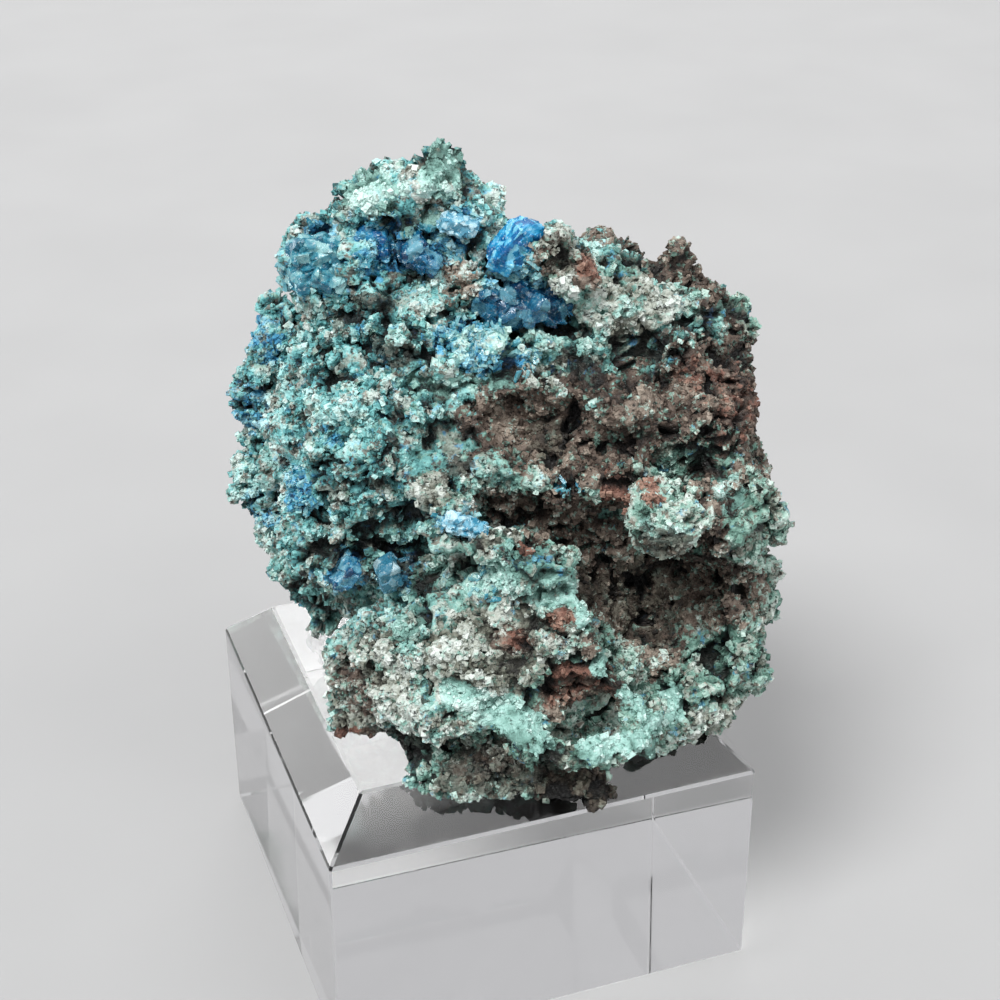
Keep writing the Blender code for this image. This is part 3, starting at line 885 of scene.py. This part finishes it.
# The skin's colours, each a run from the painted shade of its gaps to the painted light on its grain tops.
CYAN = (linear(9, 24, 25), linear(60, 124, 128), linear(114, 184, 184), linear(186, 224, 220))
GREEN = (linear(10, 22, 17), linear(74, 110, 98), linear(126, 166, 152), linear(190, 214, 203))
BROWN = (linear(8, 6, 5), linear(56, 45, 38), linear(96, 82, 72), linear(150, 138, 125))
RED_BROWN = (linear(20, 12, 9), linear(82, 54, 44), linear(122, 86, 73), linear(158, 126, 110))
DARK_ROCK_AND_SHADE = (linear(4, 4, 3), linear(28, 24, 19), linear(60, 53, 44), linear(96, 96, 84))
# The dark zone's colours, for dark rock and for painted shade under the ledges.
BLUE = (linear(8, 48, 76), linear(34, 112, 154), linear(84, 164, 196), linear(160, 210, 222))
PALE = (linear(72, 104, 96), linear(118, 160, 150), linear(156, 198, 189), linear(204, 230, 223))
CREAM = (linear(30, 30, 25), linear(112, 114, 102), linear(164, 170, 160), linear(210, 218, 212))


def skin_material(name, shade_share):
    """Crust and rock: each zone has its own run of colours, from the painted shade of its gaps to the
    painted light on its grain tops.
    """
    nodes = Nodes(name)
    shade_and_tone = nodes.attribute("shade_and_tone").outputs["Fac"]
    patchy = nodes.noise(0.8, 6.0, 0.7)
    own = nodes.math("MULTIPLY", shade_and_tone, shade_share)
    depth = nodes.math("ADD", own, nodes.math("MULTIPLY", patchy, 1 - shade_share))

    def run(colours):
        low, middle, high, top = colours
        return nodes.ramp(depth, (0.28, low), (0.43, middle), (0.57, high), (0.76, top))

    warm = nodes.split(nodes.attribute("warm_zones").outputs["Vector"])
    cool = nodes.split(nodes.attribute("cool_zones").outputs["Vector"])

    def broken(weight, fleck_mm):
        """A zone's weight, broken up by flecks of what lies beside it."""
        flecks = nodes.math("SUBTRACT", nodes.noise(fleck_mm, 5.0, 0.68), 0.5)
        edge = nodes.math("MULTIPLY", weight, nodes.math("ADD", nodes.math("MULTIPLY", flecks, 4.0), 1.0))
        return nodes.ramp(edge, (0.40, grey(0.0)), (0.56, grey(1.0)))

    def scattered(size_mm, start, full, share):
        """Flecks of one size, over part of the surface."""
        return nodes.ramp(nodes.noise(size_mm, 4.0, 0.62), (start, grey(0.0)), (full, grey(share)))

    colour = nodes.mix(nodes.attribute("greenness").outputs["Fac"], run(CYAN), run(GREEN))
    colour = nodes.mix(scattered(2.3, 0.52, 0.58, 0.8), colour, run(CREAM))
    colour = nodes.mix(scattered(1.7, 0.60, 0.65, 0.7), colour, run(BLUE))
    colour = nodes.mix(scattered(1.2, 0.56, 0.61, 0.85), colour, run(BROWN))
    colour = nodes.mix(broken(cool[0], 1.5), colour, run(BLUE))
    colour = nodes.mix(broken(cool[2], 1.8), colour, run(CREAM))
    colour = nodes.mix(broken(warm[0], 1.3), colour, run(BROWN))
    colour = nodes.mix(scattered(1.0, 0.565, 0.62, 0.8), colour, run(GREEN))
    chalky = broken(cool[1], 1.9)
    colour = nodes.mix(chalky, colour, run(PALE))
    colour = nodes.mix(broken(warm[1], 1.0), colour, run(RED_BROWN))
    colour = nodes.mix(nodes.math("MULTIPLY", broken(warm[2], 1.1), 0.85), colour, run(DARK_ROCK_AND_SHADE))
    # Painted shade: the pores, which the bump also sinks, are darkened, less so in chalky places.
    pores = nodes.noise(0.55, 2.0, 0.55)
    shade = nodes.ramp(pores, (0.30, grey(0.1)), (0.40, grey(1.0)))
    shade = nodes.mix(nodes.math("MULTIPLY", chalky, 0.85), shade, grey(1.0))
    nodes.link(nodes.mix(1.0, colour, shade, "MULTIPLY"), nodes.shader.inputs["Base Color"])
    glints = nodes.ramp(nodes.noise(0.45, 2.0, 0.5), (0.38, grey(0.9)), (0.62, grey(0.38)))
    nodes.link(glints, nodes.shader.inputs["Roughness"])
    cells = nodes.math("MULTIPLY", nodes.cells(0.38), -0.8)
    sunken = nodes.ramp(pores, (0.28, grey(0.0)), (0.42, grey(1.0)))
    rough = nodes.math("ADD", nodes.noise(0.32, 4.0, 0.65), cells)
    nodes.bump(nodes.math("ADD", rough, sunken), 0.22)
    return nodes.material


def crystal_material(name, colours, clearness):
    """Clear blue crystal: each chip has its own tint, with cloudy veils, etched faces, and whitish flecks
    that are frost and painted glints.
    """
    nodes = Nodes(name)
    veils = nodes.math("MULTIPLY", nodes.noise(0.9, 5.0, 0.65), 0.65)
    chip = nodes.math("MULTIPLY", nodes.attribute("shade_and_tone").outputs["Fac"], 0.35)
    depth = nodes.math("ADD", veils, chip)
    low, middle, high = colours
    colour = nodes.ramp(depth, (0.36, low), (0.5, middle), (0.64, high))
    # Painted glints: whitish flecks, as of frost, set into the colour.
    frost_and_glints = nodes.ramp(nodes.noise(0.5, 5.0, 0.7), (0.57, grey(0.0)), (0.66, grey(0.8)))
    nodes.link(nodes.mix(frost_and_glints, colour, FROST_AND_GLINTS), nodes.shader.inputs["Base Color"])
    etched = nodes.ramp(nodes.noise(0.6, 3.0, 0.6), (0.38, grey(0.04)), (0.66, grey(0.38)))
    nodes.link(etched, nodes.shader.inputs["Roughness"])
    nodes.shader.inputs["Transmission Weight"].default_value = clearness
    nodes.shader.inputs["IOR"].default_value = CRYSTAL_IOR
    nodes.bump(nodes.math("ADD", nodes.noise(0.4, 4.0, 0.6), nodes.noise(1.4, 2.0, 0.5)), 0.12, 0.8)
    return nodes.material


def acrylic_material():
    """Clear acrylic, with the faint smears that handling leaves."""
    nodes = Nodes("clear_acrylic_look")
    nodes.shader.inputs["Transmission Weight"].default_value = 1.0
    nodes.shader.inputs["IOR"].default_value = ACRYLIC_IOR
    smears = nodes.noise(7.0, 4.0, 0.6)
    nodes.link(nodes.ramp(smears, (0.4, grey(0.015)), (0.75, grey(0.07))), nodes.shader.inputs["Roughness"])
    nodes.link(nodes.ramp(smears, (0.3, grey(0.97)), (0.8, grey(0.92))), nodes.shader.inputs["Base Color"])
    return nodes.material


def floor_material():
    nodes = Nodes("floor_look")
    mottle = nodes.noise(40.0, 2.0, 0.5)
    nodes.link(nodes.ramp(mottle, (0.3, grey(0.31)), (0.7, grey(0.325))), nodes.shader.inputs["Base Color"])
    nodes.shader.inputs["Roughness"].default_value = 0.6
    return nodes.material


# Crystals

AZURE = (linear(4, 92, 150), linear(34, 148, 198), linear(126, 204, 230))
DEEP_BLUE = (linear(6, 62, 104), linear(34, 128, 172), linear(130, 200, 222))
TEAL = (linear(22, 108, 134), linear(76, 164, 184), linear(164, 218, 220))
PALE_BLUE = (linear(60, 136, 166), linear(118, 180, 202), linear(186, 220, 230))
# The whitish flecks on the crystals: frost, and painted glints.
FROST_AND_GLINTS = linear(206, 230, 234)

# Each crystal bunch: its colours, how clear it is, and the size and depth of its chips in
# millimetres.
CRYSTAL_LOOKS = {
    "azure_crest_crystals": (AZURE, 0.15, 0.9, 0.16),
    "blue_hollow_crystals": (DEEP_BLUE, 0.6, 1.5, 0.55),
    "teal_left_crystals": (TEAL, 0.4, 1.2, 0.42),
    "blue_shoulder_crystals": (AZURE, 0.45, 1.1, 0.4),
    "dark_blue_peak_crystals": (DEEP_BLUE, 0.5, 1.1, 0.36),
    "pale_peak_crystal": (PALE_BLUE, 0.2, 0.8, 0.32),
    "pale_ridge_crystal": (PALE_BLUE, 0.15, 0.6, 0.38),
    "dark_blue_blade": (DEEP_BLUE, 0.5, 1.3, 0.25),
    "pale_blue_blade": (PALE_BLUE, 0.45, 1.5, 0.2),
}
CHIP_SEED = 90
SHARD_CLEARNESS = 0.4


def build_crystal(name):
    """A crystal bunch with chipped, slightly stepped faces, in place of its node."""
    colours, clearness, chip_mm, chip_depth = CRYSTAL_LOOKS[name]
    crystal = add_object(f"{name}_look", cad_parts[name].data.copy())
    crystal.modifiers.new("finer", "REMESH").voxel_size = CRYSTAL_VOXEL_MM * MM
    apply_modifiers(crystal)
    points = vertex_array(crystal.data)
    height, shade_and_tone = chips(to_stone(points), chip_mm, CHIP_SEED)
    moved = points + normal_array(crystal.data) * (chip_depth * height * MM)[:, None]
    crystal.data.vertices.foreach_set("co", keep_in_box(moved).ravel())
    add_attribute(crystal.data, "shade_and_tone", shade_and_tone)
    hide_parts(name)
    dress(crystal, crystal_material(f"{name}_glass", colours, clearness))


def dress(piece, material):
    piece.data.materials.clear()
    piece.data.materials.append(material)
    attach(piece, "root")


# Each kind of grain, and the shards: their pieces, the grains in each, where they grow, their
# smallest and largest size in millimetres, the first piece's seed, and how much lighter than the
# skin they are.
GRAINS = (
    (("crust_grains_1", "crust_grains_2", "crust_grains_3"), 13500, on_crust, (0.11, 0.5), 100, 0.04),
    (("earth_grains",), 9500, on_brown, (0.1, 0.42), 110, 0.04),
    (("pale_grains",), 3500, on_pale, (0.1, 0.3), 120, 0.12),
)
SHARDS = ("blue_shards", 1800, on_blue, (0.15, 0.5), 130, 0.04)
# How much of a surface's painted light and shade comes from the value stored on it. The rest is fine noise.
SKIN_SHADE_SHARE = 0.5
GRAIN_SHADE_SHARE = 0.55


def build_stone():
    """The skin, in place of the stone's solid, and the grains and shards on it."""
    skin = build_skin()
    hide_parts("matrix_rock")
    dress(skin, skin_material("crust_look", SKIN_SHADE_SHARE))
    ground = Ground(skin)
    chunk = chunk_shape()
    grain_look = skin_material("grain_look", GRAIN_SHADE_SHARE)
    for names, count, grows, sizes_mm, seed, lighter in GRAINS:
        wanted = grows(ground)
        for i, name in enumerate(names):
            grains = scatter(name, ground, chunk, count, wanted, sizes_mm, seed + i, lighter)
            dress(grains, grain_look)
    name, count, grows, sizes_mm, seed, lighter = SHARDS
    wanted = grows(ground)
    prism = prism_shape()
    shards = scatter(name, ground, prism, count, wanted, sizes_mm, seed, lighter, SHARD_SINK)
    dress(shards, crystal_material("shard_glass", TEAL, SHARD_CLEARNESS))


def build_block():
    """The block is its CAD solid. Light passes it, so it casts no dark shadow."""
    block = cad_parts["acrylic_block"]
    block.data.materials.clear()
    block.data.materials.append(acrylic_material())
    block.visible_shadow = False


# Stage

def build_floor():
    bpy.ops.mesh.primitive_plane_add(size=FLOOR_SIDE, location=(0, 0, -FLOOR_GAP_MM * MM))
    floor = bpy.context.object
    floor.name = "floor"
    floor.data.materials.append(floor_material())


def sun(name, azimuth, elevation, spread, strength):
    """A broad, even light from one side, at angles in degrees. It isn't seen through the block."""
    light = bpy.data.lights.new(name, "SUN")
    light.angle = math.radians(spread)
    light.energy = strength
    lamp = bpy.data.objects.new(name, light)
    lamp.rotation_euler = (math.radians(90 - elevation), 0, math.radians(azimuth + 90))
    lamp.visible_transmission = False
    bpy.context.scene.collection.objects.link(lamp)


def build_lights():
    for name, light in LIGHTS.items():
        sun(name, *light)
    world = bpy.data.worlds.new("soft_room")
    bpy.context.scene.world = world
    world.use_nodes = True
    background = world.node_tree.nodes["Background"]
    background.inputs["Color"].default_value = (*WORLD_COLOUR, 1)
    background.inputs["Strength"].default_value = WORLD_STRENGTH
    bpy.context.scene.view_settings.view_transform = "Standard"


def build_camera():
    camera = bpy.data.cameras.new("camera")
    camera.sensor_width = CAMERA_SENSOR_MM
    camera.lens = CAMERA_FOCAL_MM
    camera.clip_start = CAMERA_NEAREST
    holder = bpy.data.objects.new("camera", camera)
    turn = Matrix.Rotation(CAMERA_YAW, 4, "Z") @ Matrix.Rotation(math.pi / 2 - CAMERA_PITCH, 4, "X")
    turn = turn @ Matrix.Rotation(CAMERA_ROLL, 4, "Z")
    holder.matrix_world = Matrix.Translation(CAMERA_PLACE) @ turn
    bpy.context.scene.collection.objects.link(holder)
    bpy.context.scene.camera = holder


def main():
    build_block()
    build_stone()
    for name in CRYSTAL_NODES:
        build_crystal(name)
    build_floor()
    build_lights()
    build_camera()


main()
